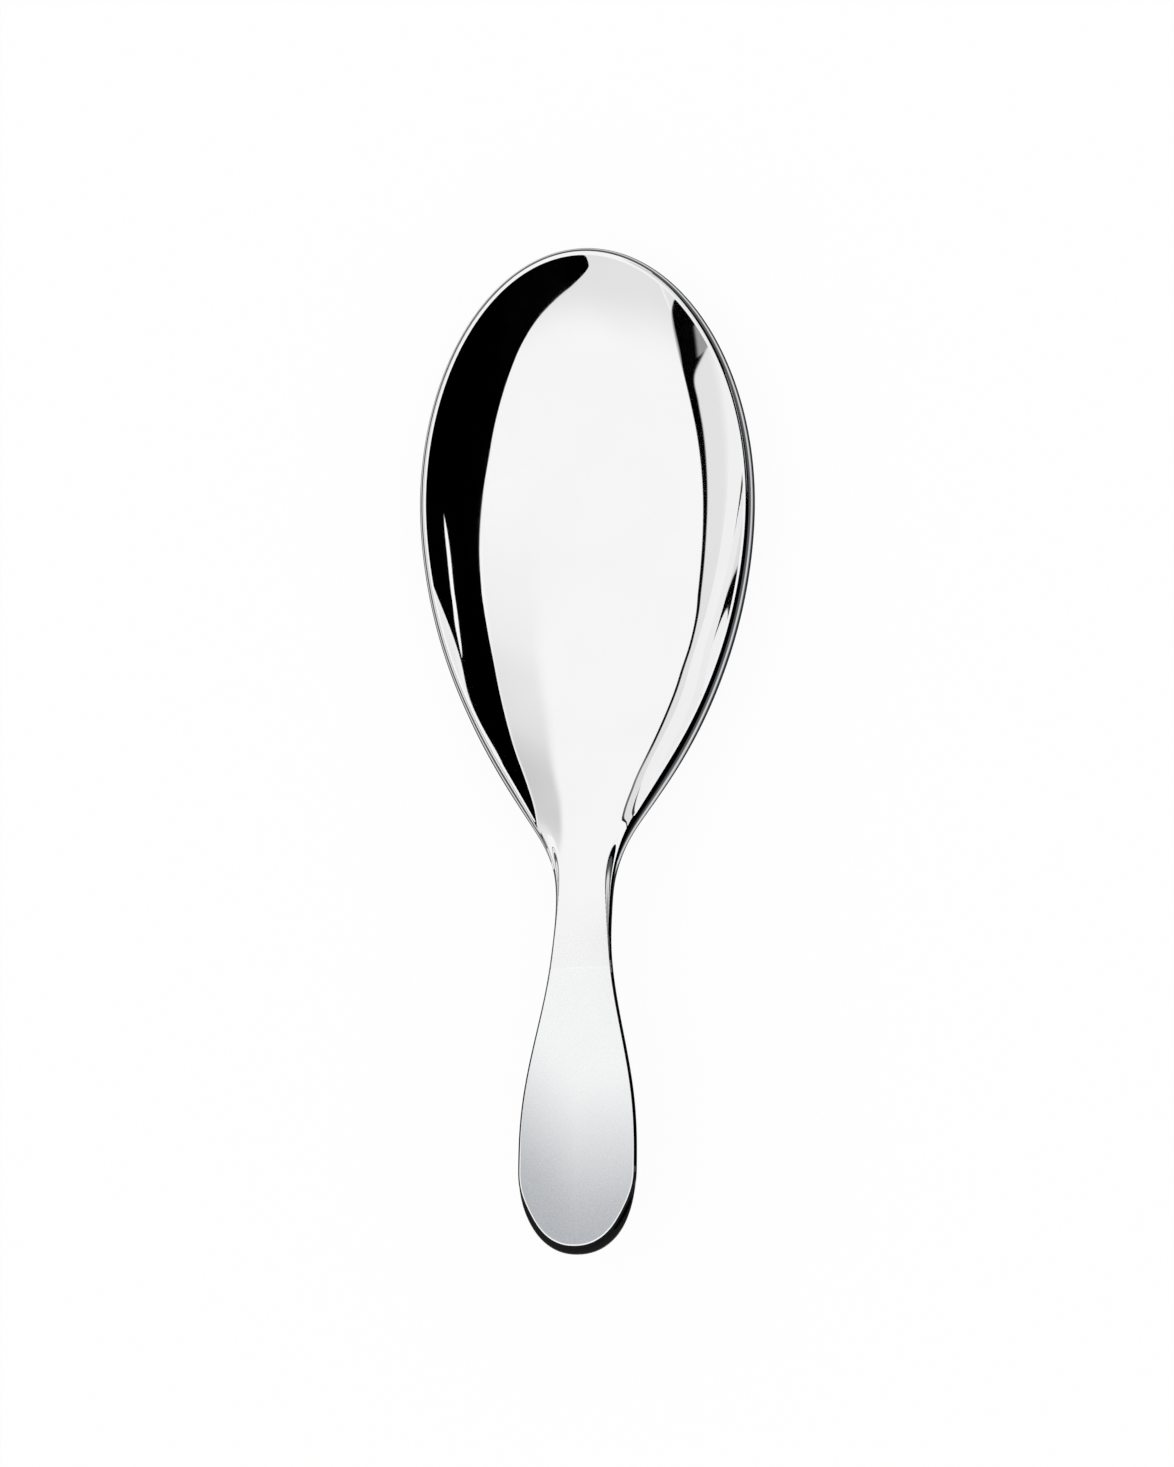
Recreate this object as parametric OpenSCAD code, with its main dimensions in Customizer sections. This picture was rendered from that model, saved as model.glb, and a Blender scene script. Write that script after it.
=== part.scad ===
// Large serving spoon in stainless steel, lying level on the ground flat under its bowl.
// The bowl, its neck and its tang are one forging. The handle is two pressed half shells,
// welded along their seam and brazed onto the tang.
// X runs across the spoon, +Y points from the handle to the tip of the bowl, +Z is up.

/* [Bowl outline] */
// Widest span of the bowl, over its rim
bowl_w = 83.7; // [76:0.1:90]
// From the tip back to the widest place
tip_len = 63.1; // [56:0.1:70]
// From the widest place back to the flank, where the outline turns outward again
flank_len = 79.3; // [72:0.1:88]
// Width at the flank
flank_w = 27.9; // [25:0.1:30]
// Lean of the outline at the flank, in degrees from the long axis
flank_lean = 33.1; // [30:0.1:36]
// From the flank back to the narrowest place of the neck
throat_len = 23; // [18:0.5:26]
// Width of the neck at its narrowest place
neck_w = 13.7; // [13:0.1:16]
// Radius of the outline at the narrowest place
neck_radius = 220; // [140:5:280]

/* [Bowl section] */
// Depth of the bowl inside, below its rim
depth = 13; // [11:0.5:16]
// Thickness of the floor
floor_t = 2.2; // [1.8:0.1:3]
// Metal that is ground away under the floor to make the resting flat
flat_cut = 0.45; // [0.3:0.05:0.6]
// Deepest place of the bowl, from the tip
deep_at = 84; // [78:0.5:88]
// Place where the floor has risen to the level of the rim, from the tip
floor_end = 170; // [166:0.5:174]
// Stretch over which the floor turns upward, and turns level again at its end
floor_ramp = 24; // [18:1:32]
// Place where the belly under the floor starts to rise towards the neck, from the tip
belly_end = 90; // [86:0.5:98]
// Width of the rounded rim, seen from above
rim_w = 2.2; // [1.8:0.1:2.8]
// Height of the rounded rim
rim_h = 3.9; // [3:0.1:4.4]
// Lift of the rim at the tip
tip_lift = 4; // [2:0.5:6]
// Length over which the rim curves up to the tip
lift_len = 100; // [80:5:105]

/* [Neck] */
// Place where the bowl's section has turned into the trough of the neck, from the tip
trough_at = 150; // [144:1:156]
// Start of the stretch where the rim narrows to the bevel of the handle, from the tip
rim_from = 125; // [118:1:132]
// End of that stretch, from the tip
rim_to = 165; // [158:1:172]
// Height by which the rim sinks below the face where it passes the neck
sink_h = 2; // [1.2:0.1:2.4]
// Start of the sinking rim, from the tip
sink_from = 141; // [136:1:145]
// Place where the rim lies lowest, from the tip
sink_at = 158; // [152:1:162]
// Start of the blend from bowl to handle, from the tip
blend_from = 134; // [130:1:140]
// End of that blend, from the tip
blend_to = 177; // [174:0.5:179]

/* [Handle] */
// From the narrowest place of the neck to the widest place of the handle
flare_len = 64.1; // [60:0.1:72]
// Widest span of the handle
handle_w = 28.6; // [26:0.1:32]
// From the widest place of the handle to its end
end_len = 20.5; // [17:0.5:23]
// Thickness of the handle at its middle line
handle_t = 6; // [5.6:0.1:7]
// Crown of the handle's face
crown = 0.5; // [0.3:0.05:0.8]
// Bevel round the face
bevel = 0.3; // [0.2:0.05:0.4]
// Height of the upright side, below the bevel
side_h = 1.4; // [1.2:0.1:1.8]
// Extra height of the upright side at the end of the handle
end_side_h = 2.9; // [1:0.1:3.2]
// Stretch of the end over which the side grows
end_side_len = 18; // [12:1:20]
// Rise of the handle, in degrees
rise = 9.8; // [8:0.1:14]
// Start of the bend that lifts the handle, from the tip
bend_from = 105.5; // [102:0.5:112]
// Length of that bend
bend_len = 27; // [24:1:34]
// Degrees by which the rise has gone down again at the end of the handle
arch = 4.5; // [2:0.5:6]
// Start of the arch that takes the rise down, from the tip
arch_from = 160; // [155:1:165]

/* [Joint] */
// Mouth of the hollow handle, where it meets the neck, from the tip
mouth_at = 180; // [178:0.5:184]
// Wall of the handle's half shells
shell_t = 0.9; // [0.7:0.05:1]
// Height of the weld between the half shells
seam_h = 0.5; // [0.4:0.1:0.7]
// Length of the tang inside the handle
tang_len = 30; // [22:1:36]
// Width of the tang
tang_w = 8; // [6:0.5:9]
// Thickness of the tang
tang_t = 2; // [1.6:0.1:2.2]
// Length of the brazing round the root of the tang
braze_len = 7; // [4:0.5:10]

/* [Hidden] */

// Stations along each stretch of the outline
tip_steps = 14;
flank_steps = 20;
throat_steps = 16;
braze_steps = 2;
flare_steps = 12;
end_steps = 9;
// Columns from the middle line to the rim, and steps round the rim
half_cols = 10;
rim_steps = 4;
// Steps of the rim at the upper and lower edge of the seam
seam_top_step = 2;
seam_low_step = 3;

// Exponents of the sections of the floor and of the belly, first in the bowl, then in the neck
cross_shares = [3.5, 2.3];
under_cross_shares = [3, 2.3];
// Exponents of the handle's underside and of the outline at its end
back_power_share = 2.4;
back_land_share = 0.55;
end_round_share = 2;
end_power_share = 2.17;
// Half width of the face beside the sunken rim, as a share of the neck's half width
face_edge_share = 0.72;
// Least width of the step beside the face, as a share of the half width
least_step_share = 0.02;

flank_at = tip_len + flank_len;
neck_at = flank_at + throat_len;
wide_at = neck_at + flare_len;
end_at = wide_at + end_len;
rest_z = depth + floor_t;

function mix(a, b, k) = a + (b - a) * k;
function held(t) = min(1, max(0, t));
function ease(t) = pow(held(t), 3) * (held(t) * (6 * held(t) - 15) + 10);
function span(s, from, to) = ease((s - from) / (to - from));

// Curve from width a to width b over length len, with the slopes and curvatures at its ends
function turned(a, slope_a, curve_a, b, slope_b, curve_b, len, t) =
    a * (1 - 10 * pow(t, 3) + 15 * pow(t, 4) - 6 * pow(t, 5))
    + slope_a * len * (t - 6 * pow(t, 3) + 8 * pow(t, 4) - 3 * pow(t, 5))
    + curve_a * len * len * (pow(t, 2) - 3 * pow(t, 3) + 3 * pow(t, 4) - pow(t, 5)) / 2
    + b * (10 * pow(t, 3) - 15 * pow(t, 4) + 6 * pow(t, 5))
    + slope_b * len * (7 * pow(t, 4) - 4 * pow(t, 3) - 3 * pow(t, 5))
    + curve_b * len * len * (pow(t, 3) - 2 * pow(t, 4) + pow(t, 5)) / 2;

// Outline points [half width, station], from the tip to the end of the handle
function tip_point(a) = [bowl_w / 2 * sin(a), tip_len * (1 - cos(a))];
function flank_point(t) = [
    turned(bowl_w / 2, 0, -bowl_w / 2 / pow(tip_len, 2),
        flank_w / 2, -tan(flank_lean), 0, flank_len, t),
    tip_len + flank_len * t
];
function throat_point(t) = [
    turned(flank_w / 2, -tan(flank_lean), 0, neck_w / 2, 0, 1 / neck_radius, throat_len, t),
    flank_at + throat_len * t
];
function flare_point(t) = [
    turned(neck_w / 2, 0, 1 / neck_radius, handle_w / 2, 0, 0, flare_len, t),
    neck_at + flare_len * t
];
function end_point(a) = [
    handle_w / 2 * pow(max(0, cos(a)), 2 / end_power_share),
    wide_at + end_len * pow(sin(a), 2 / end_power_share)
];
function plan_point(s) =
    s <= flank_at ? flank_point((s - tip_len) / flank_len) :
    s <= neck_at ? throat_point((s - flank_at) / throat_len) :
    flare_point((s - neck_at) / flare_len);

bowl_plan = concat(
    [for (i = [0:tip_steps - 1]) tip_point(90 * i / tip_steps)],
    [for (i = [0:flank_steps - 1]) plan_point(mix(tip_len, flank_at, i / flank_steps))],
    [for (i = [0:throat_steps]) plan_point(mix(flank_at, mouth_at, i / throat_steps))]
);
braze_end = mouth_at + braze_len;
handle_plan = concat(
    [for (i = [0:braze_steps - 1]) plan_point(mix(mouth_at, braze_end, i / braze_steps))],
    [for (i = [0:flare_steps - 1]) plan_point(mix(braze_end, wide_at, i / flare_steps))],
    [for (i = [0:end_steps]) end_point(90 * i / end_steps)]
);

// Mirror image of a point of the outline across the middle line, and a row turned end for end
function across(p) = [-p[0], p[1]];
function turned_round(row) = [for (k = [len(row) - 1:-1:0]) row[k]];
// Neighbour i of an outline, which goes on across the middle line or along the outline
function beyond(last, before) =
    last[0] < rim_w ? across(before) : plan_point(2 * last[1] - before[1]);
function neighbour(plan, i) =
    i < 0 ? beyond(plan[0], plan[1]) :
    i < len(plan) ? plan[i] : beyond(plan[i - 1], plan[i - 2]);
// Point i of an outline, moved inward by a distance
function inset(plan, i, by) =
    let (d = neighbour(plan, i + 1) - neighbour(plan, i - 1))
    let (n = [-d[1], d[0]] / norm(d))
    [max(0, plan[i][0] + by * n[0]), plan[i][1] + by * n[1]];

// Shares of the way from bowl to handle, for the surfaces and for the rim
function handle_share(s) = span(s, blend_from, blend_to);
function rim_share(s) = span(s, rim_from, rim_to);
// Width and height of the rounded rim or the handle's side at a station
function nose_w(s) = mix(rim_w, bevel, rim_share(s));
function side_at(s) = bevel + side_h + end_side_h * span(s, end_at - end_side_len, end_at);
function nose_h(s) = mix(rim_h, side_at(s), rim_share(s));
// Fall of the rim below the face beside the neck
function sink(s) = sink_h * span(s, sink_from, sink_at) * (1 - span(s, sink_at, mouth_at));
function face_edge(s) = mix(face_edge_share, 1, span(s, sink_from, mouth_at));
function rim_level(s) = -crown * handle_share(s) - sink(s);

// A share that grows smoothly from 0 to 1 over a stretch, and that share added up along s
function turn(s, from, len) = pow(held((s - from) / len), 2) * (3 - 2 * held((s - from) / len));
function turn_run(s, from, len) =
    let (t = held((s - from) / len))
    len * (pow(t, 3) - pow(t, 4) / 2) + max(0, s - from - len);
// Share of the depth along the middle line, from a start of the rise to the end of the floor
function deep_share(s, from) =
    1 - (turn_run(s, from, floor_ramp) - turn_run(s, floor_end - floor_ramp, floor_ramp))
    / (floor_end - from - floor_ramp);
// Share of the depth at a share u of the half width
function hollow(s, u, tip_s, from, cross) =
    let (v = held((deep_at - s) / (deep_at - tip_s)))
    let (rho = sqrt(v * v + (1 - v * v) * u * u))
    (1 - pow(min(1, rho), mix(cross[0], cross[1], span(s, deep_at, trough_at)))) * deep_share(s, from);

// Place on the handle, 0 along the middle line and 1 round the edge and the end
function to_edge(s, u, end_s) =
    let (v = pow(held((s - wide_at) / (end_s - wide_at)), end_round_share))
    sqrt(v * v + (1 - v * v) * u * u);

// Height of the upper face over the spine, at a share u of its half width
function step(u, edge) = ease((abs(u) - edge) / max(least_step_share, 1 - edge));
function top_level(s, u, end_s) =
    let (bowl_level = -depth * hollow(s, u, rim_w, deep_at, cross_shares))
    let (face_level = -crown * pow(to_edge(s, u, end_s), 2))
    mix(bowl_level, face_level, handle_share(s)) - sink(s) * step(u, face_edge(s));
// Height of the underside, at a share u of its half width
function belly_fall(s, u) =
    (rest_z + flat_cut - nose_h(s)) * hollow(s, u, 0, belly_end, under_cross_shares);
function back_fall(s, u, end_s) =
    max(0, handle_t + rim_level(s) - nose_h(s))
    * pow(held(1 - pow(to_edge(s, u, end_s), back_power_share)), back_land_share);
function under_level(s, u, end_s) =
    rim_level(s) - nose_h(s) - mix(belly_fall(s, u), back_fall(s, u, end_s), handle_share(s));

// Shares of the lift left at a station towards the tip, and of the arch passed towards the end
function lift_share(s) = max(0, 1 - s / lift_len);
function arch_share(s) = max(0, s - arch_from) / (end_at - arch_from);
// Slope of the spine, its lean, and its place back from the tip and up
function spine_slope(s) =
    sin(rise) * turn(s, bend_from, bend_len) - 2 * tip_lift / lift_len * lift_share(s)
    - sin(arch) * arch_share(s);
function bend_angle(s) = atan2(spine_slope(s), 1 - (1 - cos(rise)) * turn(s, bend_from, bend_len));
function spine_back(s) = s - (1 - cos(rise)) * turn_run(s, bend_from, bend_len);
function spine_up(s) =
    sin(rise) * turn_run(s, bend_from, bend_len) + tip_lift * pow(lift_share(s), 2)
    - sin(arch) * pow(arch_share(s), 2) * (end_at - arch_from) / 2;
// Real place of a point x across, station s along and h over the spine
function placed(x, s, h) = [
    x,
    y_shift - spine_back(s) + h * sin(bend_angle(s)),
    rest_z + spine_up(s) + h * cos(bend_angle(s))
];
// The middle of the whole length lies at Y = 0
y_shift = (spine_back(end_at) + (nose_h(end_at) + crown) * sin(bend_angle(end_at))
    - rim_h * sin(-bend_angle(0))) / 2;

// Columns from left to right, as shares of the half width, closer together towards the rim
function spread(k) = sin(90 * k / half_cols);
cols = [for (k = [-half_cols:half_cols]) sign(k) * spread(abs(k))];

// Step m round the rim: how far out from the inner edge, and how far down
function seam_top(s) = bevel + (side_h - seam_h) / 2;
function side_down(s, m) =
    m == 0 ? 0 :
    m < seam_top_step ? bevel :
    m == seam_top_step ? seam_top(s) :
    m == seam_low_step ? seam_top(s) + seam_h : side_at(s);
function nose_step(s, m) =
    let (a = 90 * m / rim_steps)
    [
        mix(rim_w * sin(a), m == 0 ? 0 : bevel, rim_share(s)),
        mix(rim_h * (1 - cos(a)), side_down(s, m), rim_share(s))
    ];
function nose_point(plan, i, m, side) =
    let (s = plan[i][1])
    let (q = nose_step(s, m))
    let (p = inset(plan, i, nose_w(s) - q[0]))
    placed(side * p[0], p[1], rim_level(s) - q[1]);

// Upper skin of row i: the left side of the rim, the face, the right side of the rim
function face_points(plan, i, by, lower, shares) =
    let (p = inset(plan, i, by))
    [for (u = shares) placed(u * p[0], p[1], top_level(p[1], u, end_at - by) - lower)];
function upper_row(plan, i, last) = concat(
    [for (m = [last:-1:1]) nose_point(plan, i, m, -1)],
    face_points(plan, i, nose_w(plan[i][1]), 0, cols),
    [for (m = [1:last]) nose_point(plan, i, m, 1)]
);
// Shares of the half width for n points across
function across_shares(n) = [for (k = [0:n - 1]) -cos(180 * k / (n - 1))];
// Underside of row i, moved inward and raised, and no higher than a limit
function under_points(plan, i, by, raise, limit, n) =
    let (p = inset(plan, i, by))
    [for (u = across_shares(n))
        placed(u * p[0], p[1], min(limit, under_level(p[1], u, end_at - by) + raise))];
// Point of the seam at row i, on the outline or moved inward
function seam_level(s, m) = rim_level(s) - side_down(s, m);
function seam_point(i, m, by, side) =
    let (p = inset(handle_plan, i, by))
    placed(side * p[0], p[1], seam_level(handle_plan[i][1], m));

// The faces whose three corners lie apart
function real_faces(points, faces) = [for (f = faces)
    if (points[f[0]] != points[f[1]] && points[f[1]] != points[f[2]] && points[f[2]] != points[f[0]]) f];

// Closed solid between an upper and an under skin of equal rows, each end closed or open
module skin_solid(upper, under, cap_first, cap_last) {
    rows = len(upper);
    n = len(upper[0]);
    points = concat([for (r = upper) each r], [for (r = under) each r]);
    base = rows * n;
    sheets = [for (i = [0:rows - 2]) for (k = [0:n - 2])
        let (a = i * n + k)
        let (b = a + 1)
        let (c = b + n)
        let (d = a + n)
        each [[a, b, c], [a, c, d], [base + a, base + c, base + b], [base + a, base + d, base + c]]];
    sides = [for (i = [0:rows - 2])
        let (a = i * n)
        let (b = a + n)
        let (c = a + n - 1)
        let (d = c + n)
        each [[a, b, base + b], [a, base + b, base + a], [c, base + d, d], [c, base + c, base + d]]];
    first_cap = [for (k = [0:n - 2])
        each [[k + 1, k, base + k], [k + 1, base + k, base + k + 1]]];
    last_cap = [for (k = [0:n - 2])
        let (z = (rows - 1) * n + k)
        each [[z, z + 1, base + z + 1], [z, base + z + 1, base + z]]];
    faces = concat(sheets, sides, cap_first ? first_cap : [], cap_last ? last_cap : []);
    polyhedron(points, real_faces(points, faces), convexity = 6);
}

// Closed solid along a path of equal sections, capped at its ends or joined up as a ring
module swept_solid(loops, ring) {
    n = len(loops[0]);
    count = len(loops) * n;
    points = [for (r = loops) each r];
    walls = [for (i = [0:len(loops) - (ring ? 1 : 2)]) for (k = [0:n - 1])
        let (a = i * n + k)
        let (b = i * n + (k + 1) % n)
        each [[a, b, (b + n) % count], [a, (b + n) % count, (a + n) % count]]];
    z = count - n;
    caps = [[0, n - 1, 2], [0, 2, 1], [z, z + 1, z + 2], [z, z + 2, count - 1]];
    polyhedron(points, real_faces(points, concat(walls, ring ? [] : caps)), convexity = 6);
}

// The tang lies in the middle of the handle's thickness
tang_top = -(handle_t - tang_t) / 2;
function tang_row(s, h, n) = [for (u = across_shares(n)) placed(u * tang_w / 2, s, h)];

// Rows of the handle's hollow, which the shells, the weld and the brazing share
inner_n = 2 * half_cols + 2 * seam_top_step - 1;
function hollow_roof(i) = concat(
    [seam_point(i, seam_top_step, shell_t, -1)],
    face_points(handle_plan, i, shell_t, shell_t, across_shares(inner_n)),
    [seam_point(i, seam_top_step, shell_t, 1)]
);
function hollow_floor(i) = concat(
    [seam_point(i, seam_low_step, shell_t, -1)],
    under_points(handle_plan, i, shell_t, shell_t, seam_level(handle_plan[i][1], seam_low_step), inner_n),
    [seam_point(i, seam_low_step, shell_t, 1)]
);
handle_rows = [0:len(handle_plan) - 1];
braze_rows = [0:braze_steps];
tang_stations = concat([for (i = braze_rows) handle_plan[i][1]], [mouth_at + tang_len]);

module bowl() {
    n = len(cols) + 2 * rim_steps;
    rows = [0:len(bowl_plan) - 1];
    upper = [for (i = rows) upper_row(bowl_plan, i, rim_steps)];
    under = [for (i = rows) under_points(bowl_plan, i, 0, 0, 0, n)];
    color("gainsboro")
    intersection() {
        skin_solid(
            concat(upper, [for (s = tang_stations) tang_row(s, tang_top, n)]),
            concat(under, [for (s = tang_stations) tang_row(s, tang_top - tang_t, n)]),
            false, true
        );
        translate([-bowl_w, -end_at, 0])
        cube([2 * bowl_w, 2 * end_at, 2 * end_at]);
    }
}

// Front half shell, with its edge turned down to the seam
module handle_face() {
    color("silver")
    skin_solid(
        [for (i = handle_rows) upper_row(handle_plan, i, seam_top_step)],
        [for (i = handle_rows) hollow_roof(i)],
        true, false
    );
}

// Back half shell, with the rounded underside
module handle_back() {
    outer = [for (i = handle_rows) concat(
        [seam_point(i, seam_low_step, 0, -1)],
        under_points(handle_plan, i, 0, 0, 0, inner_n),
        [seam_point(i, seam_low_step, 0, 1)]
    )];
    color("gainsboro")
    skin_solid([for (i = handle_rows) hollow_floor(i)], outer, true, false);
}

// Weld between the edges of the half shells, from the mouth round the end and back
module seam_weld() {
    last = len(handle_plan) - 1;
    path = concat([for (i = handle_rows) [i, -1]], [for (i = [last - 1:-1:0]) [i, 1]]);
    color("darkgray")
    swept_solid([for (q = path) [
        seam_point(q[0], seam_top_step, shell_t, q[1]),
        seam_point(q[0], seam_low_step, shell_t, q[1]),
        seam_point(q[0], seam_low_step, 0, q[1]),
        seam_point(q[0], seam_top_step, 0, q[1])
    ]], false);
}

// Brazing that fills the mouth of the handle round the root of the tang
module tang_braze() {
    n = inner_n + 2;
    outer = [for (i = braze_rows) concat(hollow_roof(i), turned_round(hollow_floor(i)))];
    inner = [for (i = braze_rows)
        let (s = handle_plan[i][1])
        concat(tang_row(s, tang_top, n), turned_round(tang_row(s, tang_top - tang_t, n)))];
    color("khaki")
    swept_solid([for (k = [2 * n - 1:-1:0]) concat(
        [for (i = braze_rows) outer[i][k]],
        turned_round([for (i = braze_rows) inner[i][k]])
    )], true);
}

bowl();
handle_face();
handle_back();
seam_weld();
tang_braze();
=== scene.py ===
import bmesh
import bpy
import numpy as np
from mathutils import Matrix


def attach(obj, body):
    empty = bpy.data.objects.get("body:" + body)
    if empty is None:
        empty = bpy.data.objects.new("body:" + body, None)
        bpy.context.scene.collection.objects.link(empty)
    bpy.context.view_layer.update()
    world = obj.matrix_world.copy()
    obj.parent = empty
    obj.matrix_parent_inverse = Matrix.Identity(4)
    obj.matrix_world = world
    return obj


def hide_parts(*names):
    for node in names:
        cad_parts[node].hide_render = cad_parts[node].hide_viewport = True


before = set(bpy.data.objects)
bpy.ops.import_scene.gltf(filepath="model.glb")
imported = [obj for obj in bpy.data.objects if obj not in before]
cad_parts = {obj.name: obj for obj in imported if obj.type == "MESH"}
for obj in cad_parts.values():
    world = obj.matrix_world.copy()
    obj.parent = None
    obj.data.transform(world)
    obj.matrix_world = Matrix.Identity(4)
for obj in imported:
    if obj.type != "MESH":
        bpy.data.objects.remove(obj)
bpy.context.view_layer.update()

# The bowl, its neck and its tang are one forging in stainless steel. The bowl is rolled thin
# and ground flat where it rests, its rim is rounded, and all of it is polished to a mirror,
# except where the satin of the handle's face begins on the neck.
bowl_w = 83.7
tip_len = 63.1  # from the tip to the bowl's widest place
flank_len = 79.3  # from there to the flank
flank_w = 27.9
flank_lean = 33.1  # degrees by which the outline leans in at the flank
throat_len = 23.0  # from the flank to the neck
neck_w = 13.7
neck_radius = 220.0
flare_len = 64.1  # from the neck to the handle's widest place
handle_w = 28.6
end_len = 20.5  # from there to the handle's end
end_power = 2.17  # power of the superellipse round the end
closed_w = 0.01  # a width below this counts as closed
depth = 13.0
floor_t = 2.2
flat_cut = 0.45  # ground off where the bowl rests
deep_at = 84.0  # station of the hollow's deepest place
floor_end = 170.0  # station where the hollow ends
floor_ramp = 24.0  # length over which the floor's slope grows, and dies away again
belly_from = 90.0  # station where the belly begins to rise
trough_at = 150.0  # station where the cross-section is the neck's
hollow_cross = (3.5, 2.3)  # powers of the hollow's cross-section in the bowl and in the neck
belly_cross = (3, 2.3)  # the same for the belly
rim_w = 2.2
rim_h = 3.9
rim_from = 125.0  # stations between which the rim turns into the handle's bevel and side
rim_to = 165.0
sink_h = 2.0  # how far the rim sinks beside the neck
sink_from = 141.0
sink_at = 158.0  # station where it has sunk furthest
face_edge = 0.72  # share of the half width that the face keeps where the rim begins to sink
least_ledge = 0.02  # keeps the ledge beside the face from closing to nothing
blend_from = 134.0  # stations between which the bowl turns into the handle
blend_to = 177.0
handle_t = 6.0
crown = 0.5  # height of the handle's face along its middle over its edge
back_power = 2.4  # powers that round the handle's back
back_land = 0.55
bevel = 0.45  # its width and its depth
bevel_part = 0.25  # share of the rim's rows that lie on the bevel
side_h = 1.25  # upright side below the bevel
end_side_h = 2.9  # what the side gains over the handle's last end_side_len
end_side_len = 18.0
tip_lift = 4.0  # how far the tip lifts, along lift_len
lift_len = 100.0
rise = 9.8  # degrees by which the handle rises
bend_from = 105.5  # station where it begins to rise, along bend_len
bend_len = 27.0
arch = 4.5  # degrees that it loses again towards its end
arch_from = 160.0
mouth_at = 180.0  # station of the handle's mouth
tang_len = 30.0
tang_w = 8.0
tang_t = 2.0
braze_len = 7.0
flank_at = tip_len + flank_len
neck_at = flank_at + throat_len
wide_at = neck_at + flare_len
end_at = wide_at + end_len
rest_z = depth + floor_t


def mix(a, b, share):
    """a where share is 0, b where it is 1, and a straight blend between."""
    return a + (b - a) * share


def span(s, start, end):
    """0 before start and 1 after end, along 6t^5 - 15t^4 + 10t^3 between them."""
    t = np.clip((s - start) / (end - start), 0, 1)
    return t**3 * (t * (6 * t - 15) + 10)


def turned(s, start, length, a, slope_a, curve_a, b, slope_b, curve_b):
    """The quintic over a stretch of stations that leaves width a and reaches width b with the
    given slopes and curvatures."""
    t = (s - start) / length
    return (
        a * (1 - 10 * t**3 + 15 * t**4 - 6 * t**5)
        + slope_a * length * (t - 6 * t**3 + 8 * t**4 - 3 * t**5)
        + curve_a * length**2 * (t**2 - 3 * t**3 + 3 * t**4 - t**5) / 2
        + b * (10 * t**3 - 15 * t**4 + 6 * t**5)
        + slope_b * length * (7 * t**4 - 4 * t**3 - 3 * t**5)
        + curve_b * length**2 * (t**3 - 2 * t**4 + t**5) / 2
    )


def half_width(s):
    """Half the width at station s: a quarter ellipse at the tip, a quintic to the flank, one to
    the neck, one to the widest place of the handle, and a superellipse to its end."""
    lean = -np.tan(np.radians(flank_lean))
    t = np.clip(1 - s / tip_len, 0, 1)
    tip = bowl_w / 2 * np.sqrt(1 - t**2)
    tip_curve = -bowl_w / 2 / tip_len**2
    flank = turned(s, tip_len, flank_len, bowl_w / 2, 0, tip_curve, flank_w / 2, lean, 0)
    throat = turned(s, flank_at, throat_len, flank_w / 2, lean, 0, neck_w / 2, 0, 1 / neck_radius)
    flare = turned(s, neck_at, flare_len, neck_w / 2, 0, 1 / neck_radius, handle_w / 2, 0, 0)
    t = np.clip((s - wide_at) / end_len, 0, 1)
    end = handle_w / 2 * (1 - t**end_power) ** (1 / end_power)
    places = [s <= tip_len, s <= flank_at, s <= neck_at, s <= wide_at]
    return np.select(places, [tip, flank, throat, flare], end)


def outline(s):
    """Outline points (half width, station) and their outward normals, from central differences
    that go on across the middle line where the outline closes and straight on where it is cut."""
    p = np.stack([half_width(s), s], 1)
    flip = np.array([-1, 1])
    first = p[1] * flip if p[0, 0] < closed_w else 2 * p[0] - p[1]
    last = p[-2] * flip if p[-1, 0] < closed_w else 2 * p[-1] - p[-2]
    d = np.vstack([p[1:], last]) - np.vstack([first, p[:-1]])
    n = np.stack([d[:, 1], -d[:, 0]], 1) / np.linalg.norm(d, axis=1)[:, None]
    return p, n


def inside(s, inset):
    """The outline moved in along its normals by an inset, as half widths, which stop at the
    middle line, and stations. The inset may differ by row, and by column within a row."""
    p, n = outline(s)
    return np.maximum(0, p[:, :1] - inset * n[:, :1]), p[:, 1:] - inset * n[:, 1:]


def handle_share(s):
    """0 in the bowl and 1 on the handle."""
    return span(s, blend_from, blend_to)


def rim_share(s):
    """0 where the rim is round and wide, 1 where it has become the handle's bevel and side."""
    return span(s, rim_from, rim_to)


def side_at(s):
    """Height of the handle's bevel and upright side together; it grows towards the end."""
    return bevel + side_h + end_side_h * span(s, end_at - end_side_len, end_at)


def nose_w(s):
    """Width of the rim, which narrows to that of the handle's bevel."""
    return mix(rim_w, bevel, rim_share(s))


def nose_h(s):
    """Height of the rim, which turns into that of the handle's bevel and side."""
    return mix(rim_h, side_at(s), rim_share(s))


def sink(s):
    """How far the rim sinks below the face beside the neck: it grows and dies away again."""
    return sink_h * span(s, sink_from, sink_at) * (1 - span(s, sink_at, mouth_at))


def rim_level(s):
    """Height of the rim's upper edge over the spine: below it by the handle's crown and by the
    rim's sinking."""
    return -crown * handle_share(s) - sink(s)


def turn(s, start, length):
    """A slope share that grows from 0 to 1 by 3t^2 - 2t^3 over a stretch."""
    t = np.clip((s - start) / length, 0, 1)
    return t * t * (3 - 2 * t)


def turn_run(s, start, length):
    """That share added up along s: length (t^3 - t^4 / 2), and straight on after the stretch."""
    t = np.clip((s - start) / length, 0, 1)
    return length * (t**3 - t**4 / 2) + np.maximum(0, s - start - length)


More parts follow.
